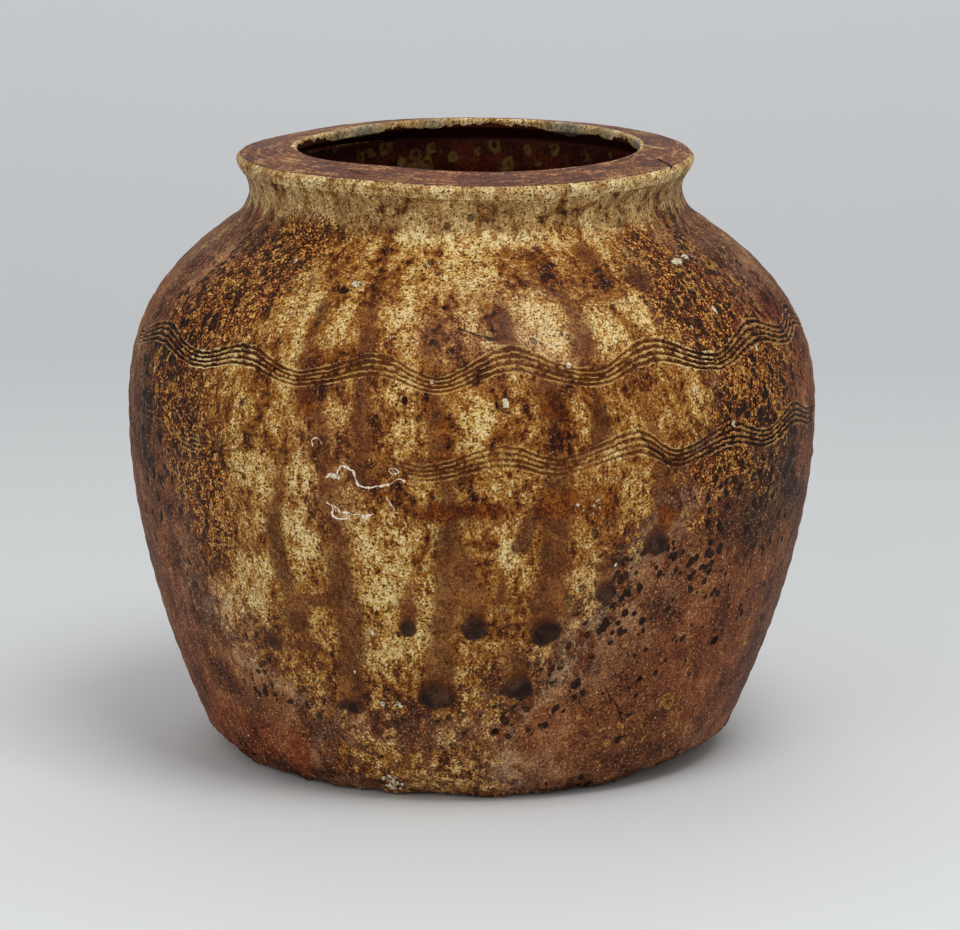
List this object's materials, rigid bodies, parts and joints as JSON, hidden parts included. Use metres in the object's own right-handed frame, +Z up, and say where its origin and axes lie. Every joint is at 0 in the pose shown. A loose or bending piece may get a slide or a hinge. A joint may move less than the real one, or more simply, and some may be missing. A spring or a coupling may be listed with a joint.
{
  "type": "oil jar",
  "caption": "Round-shouldered stoneware jar with a wide mouth, a flat overhanging rim, combed wave bands and a flat base.",
  "frame": {"origin": "middle of the jar's bounding box on the surface that the base stands on", "axes": "+Z up along the axis the jar was turned on, -Y towards the glazed front, +X to the right as seen from the front"},
  "size_m": [0.24, 0.24, 0.2127],
  "materials": {
    "stoneware": "satin"
  },
  "bodies": {
    "root": {"jar": "stoneware"}
  },
  "joints": []
}
